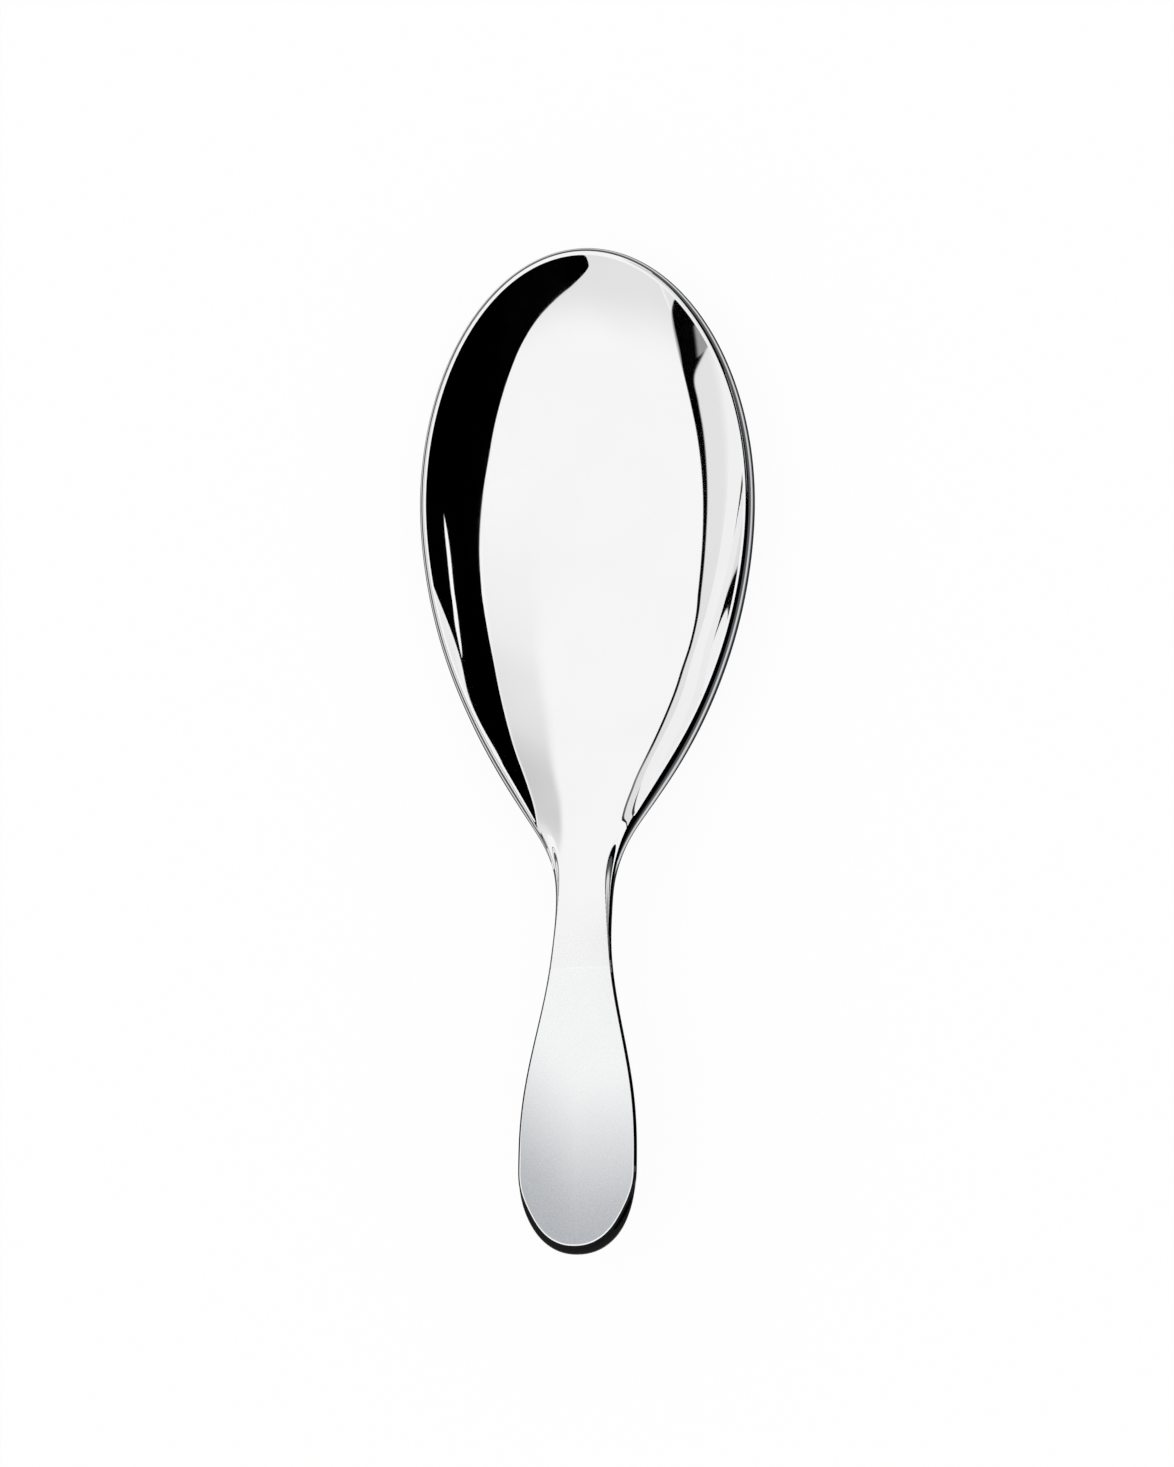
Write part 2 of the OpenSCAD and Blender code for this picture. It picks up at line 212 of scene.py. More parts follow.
def hollow(s, u, tip_s, start, cross):
    """Share of the depth at station s and share u of the half width: 1 - r^k, with r^2 = v^2 +
    (1 - v^2) u^2, v towards the tip and k turning from bowl to neck, times the share left along
    the middle line, whose slope grows over a ramp and dies away over another."""
    v = np.clip((deep_at - s) / (deep_at - tip_s), 0, 1)
    rise_left = turn_run(s, start, floor_ramp) - turn_run(s, floor_end - floor_ramp, floor_ramp)
    deep = 1 - rise_left / (floor_end - start - floor_ramp)
    r = np.minimum(1, np.sqrt(v**2 + (1 - v**2) * u**2))
    return (1 - r ** mix(*cross, span(s, deep_at, trough_at))) * deep


def to_edge(s, u, end_s):
    """0 along the middle line of the handle, 1 along its edge and round its end."""
    v = np.clip((s - wide_at) / (end_s - wide_at), 0, 1) ** 2
    return np.sqrt(v**2 + (1 - v**2) * u**2)


def top_level(s, u, end_s):
    """Height of the upper face over the spine: the bowl's hollow turning into the crowned face
    of the handle, less the rim's sinking outside the face's edge."""
    edge = mix(face_edge, 1, span(s, sink_from, mouth_at))
    step = span((np.abs(u) - edge) / np.maximum(least_ledge, 1 - edge), 0, 1)
    bowl_level = -depth * hollow(s, u, rim_w, deep_at, hollow_cross)
    return mix(bowl_level, -crown * to_edge(s, u, end_s) ** 2, handle_share(s)) - sink(s) * step


def under_level(s, u, end_s):
    """Height of the underside over the spine, turning from the bowl's belly into the handle's
    rounded back."""
    belly = (rest_z + flat_cut - nose_h(s)) * hollow(s, u, 0, belly_from, belly_cross)
    back = np.maximum(0, handle_t + rim_level(s) - nose_h(s))
    back = back * np.clip(1 - to_edge(s, u, end_s) ** back_power, 0, 1) ** back_land
    return rim_level(s) - nose_h(s) - mix(belly, back, handle_share(s))


def spine(s):
    """Lean of the spine, its place back from the tip and its height: it falls from the tip along
    a parabola, bends up by a smoothstep of slope, and arches back down."""
    sine, cosine, droop = np.sin(np.radians(rise)), np.cos(np.radians(rise)), np.sin(np.radians(arch))
    share, run = turn(s, bend_from, bend_len), turn_run(s, bend_from, bend_len)
    lift = np.maximum(0, 1 - s / lift_len)
    fall = np.maximum(0, s - arch_from) / (end_at - arch_from)
    slope = sine * share - 2 * tip_lift / lift_len * lift - droop * fall
    up = sine * run + tip_lift * lift**2 - droop * fall**2 * (end_at - arch_from) / 2
    return np.arctan2(slope, 1 - (1 - cosine) * share), s - (1 - cosine) * run, up


# The spoon's middle, between the ends of its tip and its handle, lies at y = 0.
end_angle, end_back = spine(end_at)[:2]
end_reach = end_back + (side_at(end_at) + crown) * np.sin(end_angle)
y_shift = (end_reach - rim_h * np.sin(-spine(0)[0])) / 2


def placed(x, s, h):
    """The real place of a point x across, at station s, and h over the spine."""
    angle, back, up = spine(s)
    y = y_shift - back + h * np.sin(angle)
    return np.stack(np.broadcast_arrays(x, y, rest_z + up + h * np.cos(angle)), -1)


def nose_rows(s, steps, side):
    """The rounded rim of one side as rows of points: a quarter ellipse over the bowl, and on the
    handle a bevel and an upright side."""
    m = np.linspace(0, 1, steps)[None, :]
    share = rim_share(s)[:, None]
    side_down = bevel + (m - bevel_part) / (1 - bevel_part) * (side_at(s)[:, None] - bevel)
    side_down = np.where(m < bevel_part, m / bevel_part * bevel, side_down)
    out = mix(rim_w * np.sin(m * np.pi / 2), bevel * np.minimum(1, m / bevel_part), share)
    down = mix(rim_h * (1 - np.cos(m * np.pi / 2)), side_down, share)
    x, st = inside(s, nose_w(s)[:, None] - out)
    return placed(side * x, st, rim_level(s)[:, None] - down)


def upper_rows(s, columns, steps):
    """The bowl's whole upper skin, row by row: left rim, face, right rim, with the columns closer
    together towards the rim."""
    x, st = inside(s, nose_w(s)[:, None])
    u = np.sin(np.linspace(-np.pi / 2, np.pi / 2, columns))[None, :]
    face = placed(x * u, st, top_level(st, u, end_at))
    left = nose_rows(s, steps, -1)[:, :0:-1]
    right = nose_rows(s, steps, 1)[:, 1:]
    return np.concatenate([left, face, right], 1)


def under_rows(s, columns, inset=0.0, raised=0.0, limit=np.inf):
    """The underside, row by row, with the columns closer together towards the rim. Its edge may
    stand in from the outline by an inset for each row, and it may be raised as far as a limit."""
    inset = np.zeros((len(s), 1)) + inset
    x, st = inside(s, inset)
    u = -np.cos(np.linspace(0, np.pi, columns))[None, :]
    h = under_level(st, u, end_at - inset[-1, 0]) + raised
    return placed(x * u, st, np.minimum(limit, h))


def grid_faces(numbers):
    """Four-sided faces between neighbouring rows and columns of a grid of point numbers."""
    corners = [numbers[:-1, :-1], numbers[:-1, 1:], numbers[1:, 1:], numbers[1:, :-1]]
    return np.stack(corners, -1).reshape(-1, 4)


def add_mesh(name, points, faces):
    """A new object in the scene, made of points in metres and faces."""
    mesh = bpy.data.meshes.new(name)
    mesh.from_pydata(points.tolist(), [], faces.tolist())
    thing = bpy.data.objects.new(name, mesh)
    bpy.context.collection.objects.link(thing)
    return thing


def piece_from_skins(name, upper, under):
    """A closed mesh between two skins of equal rows and columns: both skins, the two long sides
    and each end that has a width, with points that fall together merged, which closes the rest.
    What would lie below the table is flat on it, and edges of 32 degrees and more stay sharp."""
    points = np.concatenate([upper.reshape(-1, 3), under.reshape(-1, 3)])
    points[:, 2] = np.maximum(points[:, 2], 0)
    rows, columns = upper.shape[:2]
    top = np.arange(rows * columns).reshape(rows, columns)
    low = top + rows * columns
    walls = [(top[:, 0], low[:, 0]), (low[:, -1], top[:, -1])]
    if np.abs(upper[0, :, 0]).max() > closed_w:
        walls.append((low[0], top[0]))
    if np.abs(upper[-1, :, 0]).max() > closed_w:
        walls.append((top[-1], low[-1]))
    faces = [grid_faces(top), grid_faces(low)[:, ::-1]]
    faces += [grid_faces(np.stack(wall)) for wall in walls]
    piece = add_mesh(name, points / 1000, np.concatenate(faces))
    merge_gap, sharp_from = 2e-6, 32
    form = bmesh.new()
    form.from_mesh(piece.data)
    bmesh.ops.remove_doubles(form, verts=form.verts, dist=merge_gap)
    bmesh.ops.recalc_face_normals(form, faces=form.faces)
    form.to_mesh(piece.data)
    form.free()
    piece.data.shade_smooth()
    piece.data.set_sharp_from_angle(angle=np.radians(sharp_from))
    return piece


def new_material(name):
    """A new material with nodes, and its node tree."""
    material = bpy.data.materials.new(name)
    material.use_nodes = True
    return material, material.node_tree


def add_node(tree, kind, settings, *sources):
    """A node of a material with its settings, and with its first inputs taken from sources: an
    output of another node, a number, or None for an input that keeps its own value."""
    node = tree.nodes.new(kind)
    for key, value in settings.items():
        setattr(node, key, value)
    for place, source in enumerate(sources):
        if isinstance(source, bpy.types.NodeSocket):
            tree.links.new(source, node.inputs[place])
        elif source is not None:
            node.inputs[place].default_value = source
    return node.outputs[0]


def stored(tree, name):
    """The number that each point of a mesh has stored under a name."""
    return add_node(tree, "ShaderNodeAttribute", {"attribute_name": name}).node.outputs["Fac"]


def store(thing, name, values):
    """Stores a number for each point of a mesh under a name."""
    data = thing.data.attributes.new(name, "FLOAT", "POINT").data
    data.foreach_set("value", np.ravel(values).astype(np.float32))


def steel(name, colour, polish, satin, shade_tint=None, shade_from=0.0, shade_to=1.0):
    """Stainless steel whose finish goes from mirror polish to satin with the piece's own satin
    attribute. Soft clouds vary the polish and the colour, and a fine grain roughens, pits and
    specks the satin. The satin can turn into a darker tint of painted shade between two places
    along the spoon, earlier on its left and with a stronger grain."""
    material, tree = new_material(name)
    shader = tree.nodes["Principled BSDF"].inputs
    shader["Metallic"].default_value = 1
    place = tree.nodes.new("ShaderNodeTexCoord").outputs["Object"]
    finish = stored(tree, "satin")
    cloud_scale, cloud_detail, grain_scale, grain_detail = 45.0, 4.0, 2300.0, 2.0
    cloud_tone, grain_tone, coarse, pit_strength, pit_depth = 0.975, 0.96, 0.09, 0.1, 0.00004
    clouds = add_node(tree, "ShaderNodeTexNoise", {}, place, None, cloud_scale, cloud_detail)
    grain = add_node(tree, "ShaderNodeTexNoise", {}, place, None, grain_scale, grain_detail)

    def spread(noise, low, high):
        """The middle of a noise's values, 0.3 to 0.7, stretched from low to high."""
        return add_node(tree, "ShaderNodeMapRange", {}, noise, 0.3, 0.7, low, high)

    def by_finish(polished, brushed):
        """A value that is one thing on the polish and another on the satin."""
        mixed = add_node(tree, "ShaderNodeMix", {}, finish)
        for side, value in (("A", polished), ("B", brushed)):
            if isinstance(value, bpy.types.NodeSocket):
                tree.links.new(value, mixed.node.inputs[side])
            else:
                mixed.node.inputs[side].default_value = value
        return mixed

    def worked_out(operation, *values):
        """The result of an operation on values."""
        return add_node(tree, "ShaderNodeMath", {"operation": operation}, *values)

    rough = by_finish(spread(clouds, polish * 0.5, polish * 1.5), spread(grain, satin * 0.8, satin * 1.2))
    tree.links.new(rough, shader["Roughness"])
    specks = by_finish(1.0, spread(grain, grain_tone, 1.0))
    level = worked_out("MULTIPLY", spread(clouds, cloud_tone, 1.0), specks)
    # Painted shade: the satin's colour darkens along the spoon, and sooner on its left side.
    if shade_tint:
        parts = add_node(tree, "ShaderNodeSeparateXYZ", {}, place).node.outputs
        along = worked_out("ADD", parts["Y"], worked_out("MINIMUM", parts["X"], 0.0))
        shade_share = add_node(tree, "ShaderNodeMapRange", {"interpolation_type": "SMOOTHSTEP"},
                        along, shade_from, shade_to, 0.0, 1.0)
        shaded_satin = worked_out("MULTIPLY", shade_share, finish)
        strength = worked_out("MULTIPLY", shaded_satin, spread(grain, 1 - coarse, 1 + coarse))
    tint = add_node(tree, "ShaderNodeCombineColor", {})
    for channel, tone in enumerate(colour):
        if shade_tint:
            kept = worked_out("MULTIPLY_ADD", strength, shade_tint[channel] - 1, 1.0)
            tone = worked_out("MULTIPLY", kept, tone)
        tree.links.new(worked_out("MULTIPLY", tone, level), tint.node.inputs[channel])
    tree.links.new(tint, shader["Base Color"])
    bump = add_node(tree, "ShaderNodeBump", {})
    bump.node.inputs["Strength"].default_value = pit_strength
    bump.node.inputs["Distance"].default_value = pit_depth
    tree.links.new(worked_out("MULTIPLY", grain, finish), bump.node.inputs["Height"])
    tree.links.new(bump, shader["Normal"])
    return material


def facing_up(piece):
    """The share of each point that lies on a face turned up, 0 on bevels and sides, and the
    points in millimetres. Beside the handle's mouth, where normals lean over the joint's edge,
    a lesser turn up is enough."""
    flat, normal = np.empty((2, len(piece.data.vertices) * 3), np.float32)
    piece.data.vertices.foreach_get("co", flat)
    piece.data.vertices.foreach_get("normal", normal)
    spots = flat.reshape(-1, 3) * 1000
    mouth_reach, allowance, side_turn, face_turn = 1.5, 0.35, 0.93, 0.97
    at_mouth = np.abs(spots[:, 1] - placed(0, mouth_at, 0)[1]) < mouth_reach
    return span(normal.reshape(-1, 3)[:, 2] + allowance * at_mouth, side_turn, face_turn), spots


tip_rows, body_rows, bowl_columns, nose_steps = 110, 251, 97, 13
tip_stations = tip_len * (1 - np.cos(np.linspace(0, np.pi / 2, tip_rows + 1)[:-1]))
bowl_stations = np.concatenate([tip_stations, np.linspace(tip_len, mouth_at, body_rows)])
skin_columns = bowl_columns + 2 * (nose_steps - 1)
tang_x = np.linspace(-1, 1, skin_columns)[None, :] * tang_w / 2
tang_stations = mouth_at + np.array([[0], [braze_len / 2], [braze_len], [tang_len]])
tang_top = placed(tang_x, tang_stations, -(handle_t - tang_t) / 2)
tang_low = placed(tang_x, tang_stations, -(handle_t + tang_t) / 2)
bowl = piece_from_skins(
    "bowl_forging",
    np.concatenate([upper_rows(bowl_stations, bowl_columns, nose_steps), tang_top]),
    np.concatenate([under_rows(bowl_stations, skin_columns), tang_low]),
)
satin_from, satin_to = 34, 52  # behind the spoon's middle
upward, spots = facing_up(bowl)
store(bowl, "satin", upward * span(-spots[:, 1], satin_from, satin_to))
bowl.data.materials.append(steel("bowl_polish", colour=(0.955, 0.955, 0.96), polish=0.03, satin=0.3))
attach(bowl, "root")
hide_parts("bowl")

# The handle is two pressed half shells round the tang. The front one carries the satin face. A
# narrow polished edge slopes from it to a fine bevel, and below that stands a polished side,
# which swells out round the handle's end.
shell_t = 0.9
seam_h = 0.5
seam_top = bevel + (side_h - seam_h) / 2  # depths below the rim
seam_low = seam_top + seam_h
edge_w = 0.28
edge_h = 0.055
edge_from = 205.0  # stations over which the polished edge begins
edge_to = 235.0
end_bevel = 0.74  # depth of the bevel round the end
end_bevel_from = end_at - 28.0
end_bevel_to = end_at - 10.0
swell_w = 1.1  # how far the side stands in at the bevel, round the end
tuck_w = 0.9  # and at the back
swell_len = 20.0
swell_share = 0.7  # share of the side's height where it stands out furthest
flare_rows, end_rows = 120, 61
handle_stations = np.concatenate([
    np.linspace(mouth_at, wide_at, flare_rows + 1)[:-1],
    wide_at + end_len * np.sin(np.linspace(0, np.pi / 2, end_rows)) ** (2 / end_power),
])


def side_in(s, down):
    """How far the side stands in from the outline at a depth below the rim. Round the handle's
    end it comes out along a quarter sine below the bevel, and goes in again along another."""
    near_end = span(s, end_at - swell_len, end_at - swell_len / 4)
    top = edge_h + end_bevel
    swell_h = swell_share * (side_at(s) - top)
    past = (down - top - swell_h) / (side_at(s) - top - swell_h)
    out = np.sin(np.clip((down - top) / swell_h, 0, 1) * np.pi / 2)
    back = 1 - np.cos(np.clip(past, 0, 1) * np.pi / 2)
    return near_end * (swell_w * (1 - out) + tuck_w * back)


def side_line(s, down, inward, side):
    """A line along one side of the handle at a depth below the rim, on its skin or inside it."""
    x, st = inside(s, (inward + side_in(s, down))[:, None])
    return placed(side * x, st, (rim_level(s) - down)[:, None])


def top_rows(s, columns, inward, sunk):
    """The face as far as its edge, or a skin inside it that lies a length deeper."""
    inset = (inward + side_in(s, 0))[:, None]
    x, st = inside(s, inset)
    u = np.sin(np.linspace(-np.pi / 2, np.pi / 2, columns))[None, :]
    return placed(x * u, st, top_level(st, u, end_at - inset[-1, 0]) - sunk)


def front_skin(s, columns, steps):
    """The front shell's outside: side down to the weld, bevel, polished edge, face, and the same
    again on the other side. The lines lie closer together beside the corners."""
    lower = span(s, edge_from, edge_to)
    wide, sloped = edge_w * lower, edge_h * lower
    bevel_h = mix(bevel, end_bevel, span(s, end_bevel_from, end_bevel_to))
    places = [(bevel + wide * (1 - k), sloped * k) for k in (0.3, 0.85, 1)]
    places += [(bevel * (1 - k), sloped + bevel_h * k) for k in (0.05, 0.35, 0.7, 1)]
    places += [(0, mix(sloped + bevel_h, seam_top, k)) for k in np.linspace(0, 1, steps)[1:]]
    left, right = [[side_line(s, down, inward, side) for inward, down in places] for side in (-1, 1)]
    return np.concatenate(left[::-1] + [top_rows(s, columns, bevel + wide, 0)] + right, 1)


def roof(s, columns):
    """The front shell's inside, from the weld's edge up and over."""
    left, right = [side_line(s, seam_top, shell_t, side) for side in (-1, 1)]
    return np.concatenate([left, top_rows(s, columns, shell_t, shell_t), right], 1)


def edge_gap(spots, s):
    """Distance in plan from each point to the nearest of the outline's points at stations s."""
    x, y = placed(half_width(s), s, 0)[:, :2].T
    gaps = [np.hypot(spots[:, None, 0] - side * x, spots[:, None, 1] - y).min(1) for side in (-1, 1)]
    return np.min(gaps, 0)


def polished_edge(spots):
    """1 on the polished edge, 0 on the face inside it and above its beginning, from each point's
    gap to the edge and its station, which is read off the spine at three places a row."""
    rows, begin_len, soft_from, soft_to = len(handle_stations), 7, 0.75, 0.95
    finer = np.interp(np.linspace(0, rows - 1, 3 * (rows - 1) + 1), np.arange(rows), handle_stations)
    s = np.interp(-spots[:, 1], -placed(0, finer, 0)[:, 1], finer)
    across = edge_gap(spots, finer) - side_in(s, 0) - bevel
    wide = edge_w * span(s, edge_from, edge_to) + closed_w
    return (1 - span(across / wide, soft_from, soft_to)) * span(s, edge_from, edge_from + begin_len)


face_columns, side_steps = 61, 5
front_out = front_skin(handle_stations, face_columns, side_steps)
front_in = roof(handle_stations, front_out.shape[1] - 2)
handle_face = piece_from_skins("handle_front", front_out, front_in)
upward, spots = facing_up(handle_face)
store(handle_face, "satin", upward * (1 - polished_edge(spots)))
# The satin face darkens to a bluish tint towards the handle's end, sooner on its left: painted shade.
handle_face.data.materials.append(steel(
    "handle_satin", colour=(0.97, 0.975, 0.98), polish=0.03, satin=0.3,
    shade_tint=(0.515, 0.53, 0.555), shade_from=-0.077, shade_to=-0.126,
))
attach(handle_face, "root")
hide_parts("handle_face")

# The back shell is pressed too, with a rounded back, and polished. It stands against the weld
# all the way round, and turns in a little below it round the handle's end.
back_steps = 7


def side_rows(s, side):
    """The back shell's side, line by line from the weld to its lower edge."""
    shares = np.linspace(0, 1, back_steps + 1)[:-1]
    return [side_line(s, mix(seam_low, side_at(s), k), 0, side) for k in shares]


def back_skin(s, columns):
    """The back shell's outside: side, rounded back, side."""
    tucked = side_in(s, side_at(s))[:, None]
    return np.concatenate(side_rows(s, -1) + [under_rows(s, columns, tucked)] + side_rows(s, 1)[::-1], 1)


def back_lining(s, columns):
    """The back shell's inside, which keeps its distance from the outside and ends at the weld."""
    tucked = side_in(s, side_at(s))[:, None]
    left, right = [side_line(s, seam_low, shell_t, side) for side in (-1, 1)]
    middle = under_rows(s, columns, shell_t + tucked, shell_t, (rim_level(s) - seam_low)[:, None])
    return np.concatenate([left, middle, right], 1)


back_out = back_skin(handle_stations, face_columns)
back_in = back_lining(handle_stations, back_out.shape[1] - 2)
handle_back = piece_from_skins("handle_back_shell", back_in, back_out)
store(handle_back, "satin", np.zeros(len(handle_back.data.vertices)))
handle_back.data.materials.append(steel("handle_polish", colour=(0.93, 0.93, 0.935), polish=0.03, satin=0.3))
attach(handle_back, "root")
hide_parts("handle_back")


# The weld between the two shells' edges runs all the way round the handle and is ground flush,
# a little duller than the polished side.
def round_line(down, inward):
    """A line round the handle from one side of its mouth to the other, at a depth below the rim."""
    left, right = [side_line(handle_stations, down, inward, side) for side in (-1, 1)]
    return np.concatenate([left, right[-2::-1]])


weld = piece_from_skins(
    "seam_weld_bead",
    np.concatenate([round_line(seam_top, shell_t), round_line(seam_top, 0)], 1),
    np.concatenate([round_line(seam_low, shell_t), round_line(seam_low, 0)], 1),
)
store(weld, "satin", np.zeros(len(weld.data.vertices)))
weld.data.materials.append(steel("weld_metal", colour=(0.92, 0.92, 0.915), polish=0.045, satin=0.3))
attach(weld, "root")
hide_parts("seam_weld")

# The brazing fills the mouth of the handle round the root of the tang and doesn't show. It
# keeps its CAD solid, in the dull yellowish grey of the alloy as it cooled.
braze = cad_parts["tang_braze"]
braze.data.materials.clear()
braze.data.materials.append(steel("braze_metal", colour=(0.78, 0.74, 0.62), polish=0.4, satin=0.5))

# The table is matt white and so wide that its edge never shows. To the camera it reads as white
# with a soft trace of the spoon's shadow. To the steel's mirror rays it glows instead with a painted
# reflection set by distance from the spoon: painted shade close by, light a little further out and
# dark beyond, and dark all along beside the handle.
close_half, close_rows = 0.21, 169  # small cells lie this many metres either way from the middle
close_ticks = np.linspace(-close_half, close_half, close_rows)
ticks = np.concatenate([[-3, -0.9, -0.4], close_ticks, [0.4, 0.9, 3]])
across_table, along_table = [axis.ravel() for axis in np.meshgrid(ticks, ticks)]
table_z = -2e-5
corners = np.stack([across_table, along_table, across_table * 0 + table_z], 1)
table = add_mesh("table", corners, grid_faces(np.arange(len(ticks)**2).reshape(len(ticks), -1)))
outline_points = 240
gap = edge_gap(corners * 1000, np.linspace(0, end_at, outline_points))
painted_mirror_shade = np.interp(gap, [0, 10, 14, 20, 26, 35, 300], [0.02, 0.03, 0.6, 0.8, 0.3, 0.1, 0.06])
dark_from, dark_to, dark_share = 30, 50, 0.85  # beside the handle, behind the spoon's middle
painted_mirror_shade *= 1 - dark_share * span(-along_table * 1000, dark_from, dark_to)
store(table, "shade", painted_mirror_shade)
table_white, tree = new_material("table_white")
paint = tree.nodes["Principled BSDF"]
paint.inputs["Base Color"].default_value = (0.98, 0.98, 0.98, 1)
paint.inputs["Roughness"].default_value = 0.9
glow_share = 0.93
glow = add_node(tree, "ShaderNodeEmission", {}, (1, 1, 1, 1), 1.0)
white = add_node(tree, "ShaderNodeMixShader", {}, glow_share, paint.outputs["BSDF"], glow)
glossy = add_node(tree, "ShaderNodeLightPath", {}).node.outputs["Is Glossy Ray"]
# The glow that mirror rays see on the table: a painted reflection, with painted shade by the spoon.
painted_reflection = add_node(tree, "ShaderNodeEmission", {}, (0.95, 0.975, 1, 1), stored(tree, "shade"))
shown = add_node(tree, "ShaderNodeMixShader", {}, glossy, white, painted_reflection)
tree.links.new(shown, tree.nodes["Material Output"].inputs["Surface"])
table.data.materials.append(table_white)

# The studio is a white tent, which is the world, with black, grey and white cards hung in it.
# The steel mirrors them, those on the right in the bowl's left wall and those on the left in its
# right wall. They don't show to the camera and don't shade the table.
tent_white = 0.97
world = bpy.data.worlds.new("tent")
bpy.context.scene.world = world
world.use_nodes = True
tent = world.node_tree.nodes["Background"].inputs
tent["Color"].default_value = (tent_white, tent_white, tent_white, 1)
tent["Strength"].default_value = 1.0


def along_curve(points, t):
    """A smooth curve through the points, at shares t of its length in steps: on each step the
    cubic 2t^3 - 3t^2 + 1 and its fellows, with the slopes of the neighbouring points."""
    points = np.array(points, float)
    slopes = np.gradient(points, axis=0)
    k = np.minimum((t * (len(points) - 1)).astype(int), len(points) - 2)
    f = (t * (len(points) - 1) - k)[:, None]
    return ((2 * f**3 - 3 * f**2 + 1) * points[k] + (f**3 - 2 * f**2 + f) * slopes[k]
            + (3 * f**2 - 2 * f**3) * points[k + 1] + (f**3 - f**2) * slopes[k + 1])


def card(name, near, far, shades, radius=12.0, soft=(0, 0), around=tent_white):
    """A curved card on the tent's wall, at a radius in metres: a sheet ruled between two curves
    of directions, each given as degrees from the zenith to the right and away from the handle.
    Its brightness runs along the curves through the given shades. Where soft shares of its width
    are given, it turns over them, and at least over one cell, into the brightness around it."""
    rows, columns, least = 121, 17, 1e-6
    t = np.linspace(0, 1, rows)
    w = np.linspace(0, 1, columns)[None, :]
    grid = mix(along_curve(near, t)[:, None], along_curve(far, t)[:, None], w[..., None])
    r = np.radians(np.hypot(grid[..., 0], grid[..., 1]))
    a = np.arctan2(grid[..., 0], grid[..., 1])
    xyz = radius * np.stack([np.sin(r) * np.sin(a), np.sin(r) * np.cos(a), np.cos(r)], -1)
    sheet = add_mesh(name, xyz.reshape(-1, 3), grid_faces(np.arange(r.size).reshape(r.shape)))
    shade = np.interp(t, np.linspace(0, 1, len(shades)), shades)[:, None] + 0 * w
    if any(soft):
        firm = span(w, 0, soft[0] or least) * span(1 - w, 0, soft[1] or least)
        shade = mix(around, shade, firm)
    store(sheet, "shade", shade)
    sheet.visible_camera = False
    sheet.visible_diffuse = False
    sheet.visible_shadow = False
    material, tree = new_material(name)
    lamp = add_node(tree, "ShaderNodeEmission", {}, (1, 1, 1, 1), stored(tree, "shade"))
    tree.links.new(lamp, tree.nodes["Material Output"].inputs["Surface"])
    sheet.data.materials.append(material)


card("grey_card_top",
     near=[(30, -20), (10, -22), (-10, -22), (-30, -18), (-50, -16), (-72, -10)],
     far=[(30, -64), (10, -66), (-10, -66), (-30, -64), (-60, -60), (-96, -44)],
     shades=[0.8, 0.8], radius=13.5, soft=(0.5, 0))
card("grey_card_right",
     near=[(-8, -2), (-6, 12), (-3, 26), (-2, 37), (2, 48), (6, 58), (8, 68)],
     far=[(34, 0), (40, 12), (45, 26), (45, 38), (42, 52), (40, 64), (34, 76)],
     shades=[0.98, 0.93, 0.9, 0.84, 0.78, 0.64, 0.58], radius=12.8, soft=(0.3, 0))
card("black_card_right",
     near=[(-18.5, -48.5), (-17.4, -46.2), (-8.7, -41.9), (1.1, -38), (10.6, -33.1), (17.8, -27.2),
           (22.2, -21.6), (25.9, -15.4), (28.6, -9.8), (30.7, -4.5), (33.7, 0.5), (36.8, 5.7),
           (40.1, 10.9), (42.7, 15.9), (45.1, 21.4), (45.5, 31.8), (44, 42), (42.6, 48.5),
           (41.5, 56), (40.2, 64.5), (37, 72), (32, 78)],
     far=[(-18.5, -48.5), (-17, -51), (-9, -55), (4, -61), (20, -66), (42, -72), (60, -70),
          (73, -57), (83, -41), (89, -25), (92, -8), (92, 8), (89, 22), (84, 36), (77, 50),
          (68, 62), (57, 72), (46, 80), (36, 86)],
     shades=[0, 0])
card("white_strip_right",
     near=[(66.5, 11), (65.5, 15), (66, 20), (69, 29), (71, 38), (71.5, 45), (72, 48)],
     far=[(66.5, 11), (67.5, 15), (68.7, 21), (71.5, 30), (73.6, 38), (73, 45), (72, 48)],
     shades=[1, 1], radius=11.2)
card("grey_card_left",
     near=[(-50, -66), (-57, -44), (-60, -32), (-63, -25), (-62, -17), (-63, -8), (-63, 2),
           (-63, 11), (-65, 20), (-68, 31), (-65, 40), (-60, 49), (-57, 57), (-52, 63)],
     far=[(-70, -80), (-84, -60), (-90, -42), (-92, -27), (-94, -15), (-95, -4), (-95, 5),
          (-94, 15), (-91, 26), (-87, 37), (-81, 49), (-75, 58), (-68, 65), (-58, 72)],
     shades=[0.8, 0.8, 0.8, 0.8, 0.79, 0.76], radius=12.8, soft=(0, 0.5))
card("grey_card_lens",
     near=[(-73.5, -24.3), (-72, -21), (-70, -17.5)],
     far=[(-93, -24), (-93, -21), (-93, -18)],
     shades=[0.33, 0.33], radius=11.0, soft=(0.2, 0), around=0)
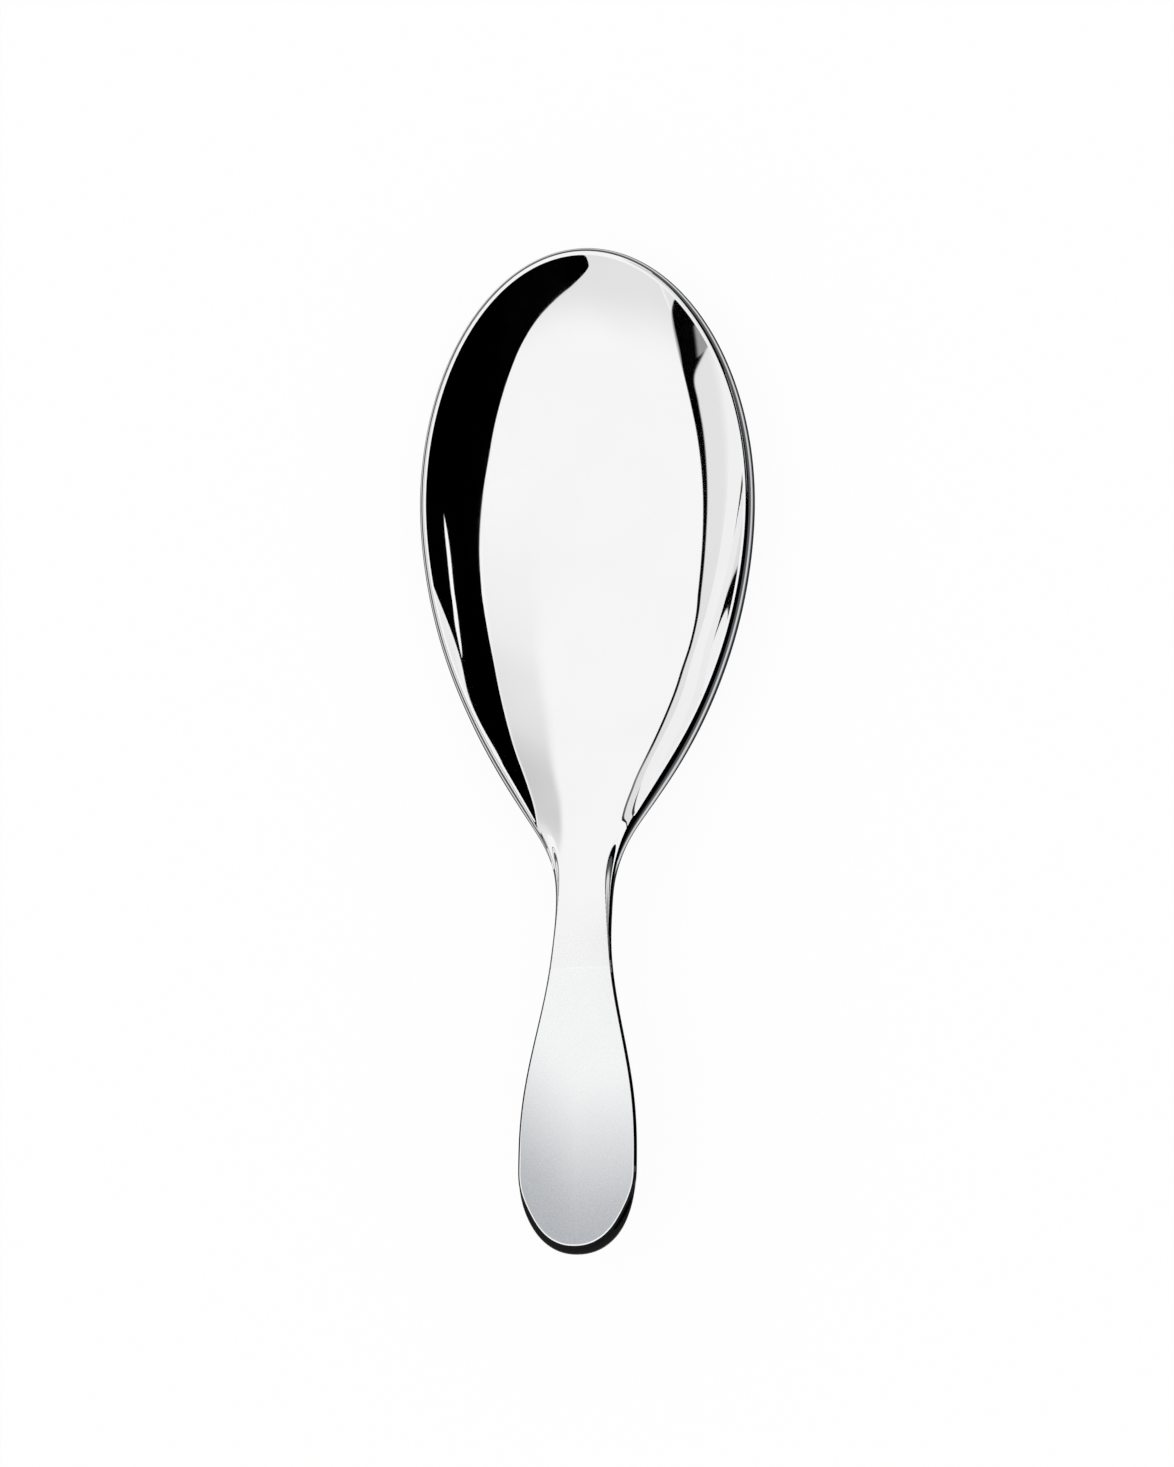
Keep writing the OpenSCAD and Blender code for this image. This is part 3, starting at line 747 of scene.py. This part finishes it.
card("black_line_left",
     near=[(-65, -32.3), (-61, -30), (-58.7, -26), (-57.7, -20.5), (-57.8, -15.7), (-58.3, -9.6),
           (-59.2, -4.1), (-60.1, 3.5), (-61, 12), (-62.5, 18), (-65.4, 24.5), (-66, 31),
           (-64.8, 37.5), (-62.2, 42), (-59.2, 46.5), (-57, 51.5), (-55.5, 56), (-54, 59),
           (-50, 61)],
     far=[(-71, -32.6), (-80, -30.5), (-90, -26), (-93, -20), (-68.3, -14.6), (-66.1, -9),
          (-66.4, -3.3), (-65.9, 4.4), (-65.7, 13), (-67, 19), (-69.6, 25.8), (-69.7, 32.2),
          (-68.5, 38.5), (-65.8, 43), (-62.7, 47.5), (-60.6, 52.5), (-59, 57), (-57, 60),
          (-52, 61.5)],
     shades=[0] * 16 + [0.02, 0.2, 0.8], radius=11.2, soft=(0, 0.25), around=0.8)

# The camera stands where the photograph's stood: it looks down on the spoon, a little from its
# right and from the handle's side, and one pixel of the photograph shows the point it aims at.
photo_w, photo_h, px_per_mm = 1174, 1467, 4.112
aim_station, aim_column, aim_row = 110, 585.9, 689.8
side_lean, back_lean, roll = np.radians([12, 10, -0.559])
distance, sensor_h = 1.5, 36
aim = np.array([0, (y_shift - aim_station) / 1000, rest_z / 1000])
toward = np.array([np.sin(side_lean) * np.cos(back_lean), -np.sin(back_lean),
                   np.cos(side_lean) * np.cos(back_lean)])
up = np.array([0, 1, 0]) - toward[1] * toward
up /= np.linalg.norm(up)
right = np.cross(up, toward)
rolled_right = right * np.cos(roll) + up * np.sin(roll)
rolled_up = up * np.cos(roll) - right * np.sin(roll)
lens = bpy.data.cameras.new("camera")
lens.sensor_fit = "VERTICAL"
lens.sensor_height = sensor_h
lens.lens = sensor_h * distance / (photo_h / 1000 / px_per_mm)
lens.shift_x = (photo_w / 2 - aim_column) / photo_h
lens.shift_y = -(photo_h / 2 - aim_row) / photo_h
camera = bpy.data.objects.new("camera", lens)
stand = Matrix(np.stack([rolled_right, rolled_up, toward], 1).tolist()).to_4x4()
stand.translation = aim + distance * toward
camera.matrix_world = stand
bpy.context.collection.objects.link(camera)
bpy.context.scene.camera = camera
bpy.context.scene.view_settings.view_transform = "Standard"
